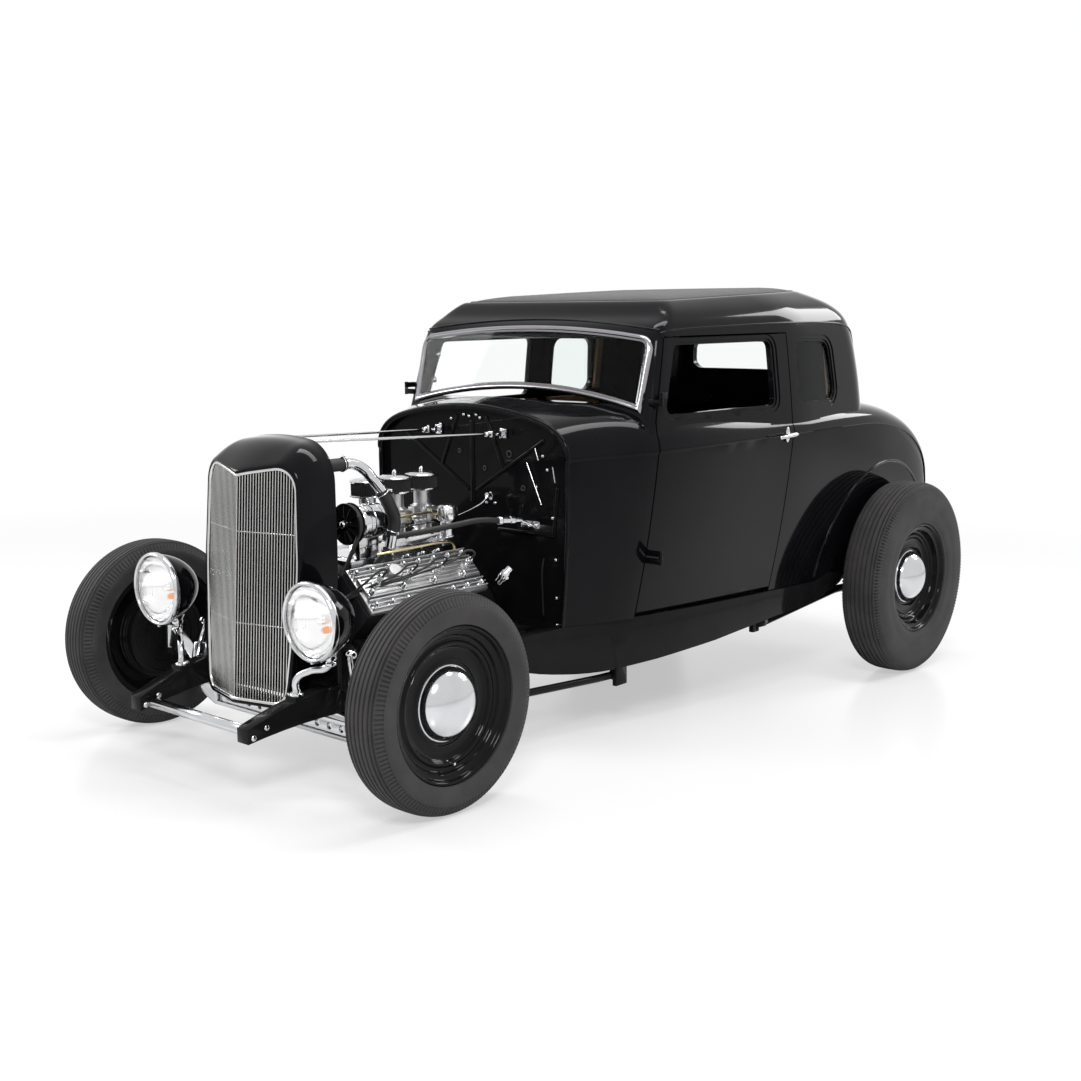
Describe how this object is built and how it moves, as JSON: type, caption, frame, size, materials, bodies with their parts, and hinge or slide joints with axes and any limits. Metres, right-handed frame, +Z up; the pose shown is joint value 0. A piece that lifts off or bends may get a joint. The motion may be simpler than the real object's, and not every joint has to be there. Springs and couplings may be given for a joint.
{
  "type": "hot rod coupe",
  "caption": "Fenderless coupe with an open engine on bare rails, V grille of fine bars, drilled dropped axle, plain caps on steel wheels, hinged doors and deck lid.",
  "frame": {"origin": "on the ground under the middle of the car's box", "axes": "+X to the car's left, +Y to its tail, +Z up; the front faces -Y"},
  "size_m": [1.604, 3.5716, 1.5647],
  "materials": {
    "body_paint": "deep gloss black",
    "chassis_paint": "satin black",
    "axle_steel": "semi-gloss black",
    "chrome": "polished",
    "bright_bars": "polished stainless",
    "finned_heads": "brushed",
    "manifold": "polished",
    "engine_paint": "semi-gloss black",
    "exhaust_steel": "satin black",
    "wheel_paint": "gloss black with bright cap",
    "tyre_rubber": "dry rubber",
    "hose": "black rubber",
    "lamp_glass": "fluted",
    "tail_glass": "red",
    "window_glass": "clear",
    "roof_fabric": "matte black",
    "seat_leather": "plain",
    "interior": "satin black",
    "wheel_rim": "gloss"
  },
  "bodies": {
    "chassis": {"belt_drive": "hose", "carburettors": "manifold", "coolant_hoses": "hose", "cowl": "body_paint", "cylinder_heads": "finned_heads", "dashboard": "interior", "engine_block": "engine_paint", "exhaust": "exhaust_steel", "firewall": "body_paint", "floor_pan": "interior", "frame": "chassis_paint", "front_axle": "chrome", "front_shocks": "chrome", "fuel_tank": "chassis_paint", "gearbox": "engine_paint", "generator": "chrome", "grille_bars": "bright_bars", "grille_shell": "body_paint", "headlamp_lenses": "lamp_glass", "headlamps": "body_paint", "hood_rods": "chrome", "intake_manifold": "manifold", "leaf_springs": "chassis_paint", "radiator": "interior", "radius_rods": "chassis_paint", "rear_axle": "axle_steel", "rear_body": "body_paint", "roof_insert": "roof_fabric", "roof_shell": "body_paint", "seat": "seat_leather", "spreader_bar": "chrome", "steering_column": "interior", "tail_lamps": "tail_glass", "water_pumps": "engine_paint", "wheel_wells": "interior", "window_glass": "window_glass", "windshield_frame": "chrome"},
    "wheel_front_left": {"wheel_front_left": "wheel_paint", "tyre_front_left": "tyre_rubber"},
    "wheel_front_right": {"wheel_front_right": "wheel_paint", "tyre_front_right": "tyre_rubber"},
    "wheel_rear_left": {"wheel_rear_left": "wheel_paint", "tyre_rear_left": "tyre_rubber"},
    "wheel_rear_right": {"wheel_rear_right": "wheel_paint", "tyre_rear_right": "tyre_rubber"},
    "knuckle_left": {"knuckle_left": "axle_steel"},
    "knuckle_right": {"knuckle_right": "axle_steel"},
    "tie_rod": {"tie_rod": "chrome"},
    "door_left": {"door_left": "body_paint"},
    "door_right": {"door_right": "body_paint"},
    "deck_lid": {"deck_lid": "body_paint"},
    "steering_wheel": {"steering_wheel": "wheel_rim"}
  },
  "joints": [
    {"name": "steer_left", "type": "hinge", "parent": "chassis", "child": "knuckle_left", "pos_m": [0.596, -1.42995, 0.3155], "axis": [0, 0, 1], "range_deg": [-26, 26]},
    {"name": "steer_right", "type": "hinge", "parent": "chassis", "child": "knuckle_right", "pos_m": [-0.596, -1.42995, 0.3155], "axis": [0, 0, 1], "range_deg": [-26, 26]},
    {"name": "tie_rod_pivot", "type": "hinge", "parent": "knuckle_left", "child": "tie_rod", "pos_m": [0.596, -1.27995, 0.2535], "axis": [0, 0, 1], "range_deg": [-26, 26]},
    {"name": "spin_front_left", "type": "hinge", "parent": "knuckle_left", "child": "wheel_front_left", "pos_m": [0.696, -1.42995, 0.3155], "axis": [1, 0, 0], "continuous": true},
    {"name": "spin_front_right", "type": "hinge", "parent": "knuckle_right", "child": "wheel_front_right", "pos_m": [-0.696, -1.42995, 0.3155], "axis": [1, 0, 0], "continuous": true},
    {"name": "spin_rear_left", "type": "hinge", "parent": "chassis", "child": "wheel_rear_left", "pos_m": [0.716, 1.26205, 0.396], "axis": [1, 0, 0], "continuous": true},
    {"name": "spin_rear_right", "type": "hinge", "parent": "chassis", "child": "wheel_rear_right", "pos_m": [-0.716, 1.26205, 0.396], "axis": [1, 0, 0], "continuous": true},
    {"name": "door_left_swing", "type": "hinge", "parent": "chassis", "child": "door_left", "pos_m": [0.614, -0.32685, 0.87293], "axis": [0, 0.0471, -0.9989], "range_deg": [0, 65]},
    {"name": "door_right_swing", "type": "hinge", "parent": "chassis", "child": "door_right", "pos_m": [-0.614, -0.32685, 0.87293], "axis": [0, -0.0471, 0.9989], "range_deg": [0, 65]},
    {"name": "deck_lid_lift", "type": "hinge", "parent": "chassis", "child": "deck_lid", "pos_m": [0, 1.13148, 1.13392], "axis": [1, 0, 0], "range_deg": [0, 60]},
    {"name": "steering_wheel_turn", "type": "hinge", "parent": "chassis", "child": "steering_wheel", "pos_m": [0.3, 0.02693, 0.94968], "axis": [0, 0.7866, 0.6175], "range_deg": [-312, 312]}
  ],
  "couplings": [
    {"joint": "steer_right", "follows": "steer_left", "ratio": 1},
    {"joint": "tie_rod_pivot", "follows": "steer_left", "ratio": -1},
    {"joint": "steering_wheel_turn", "follows": "steer_left", "ratio": 12}
  ]
}
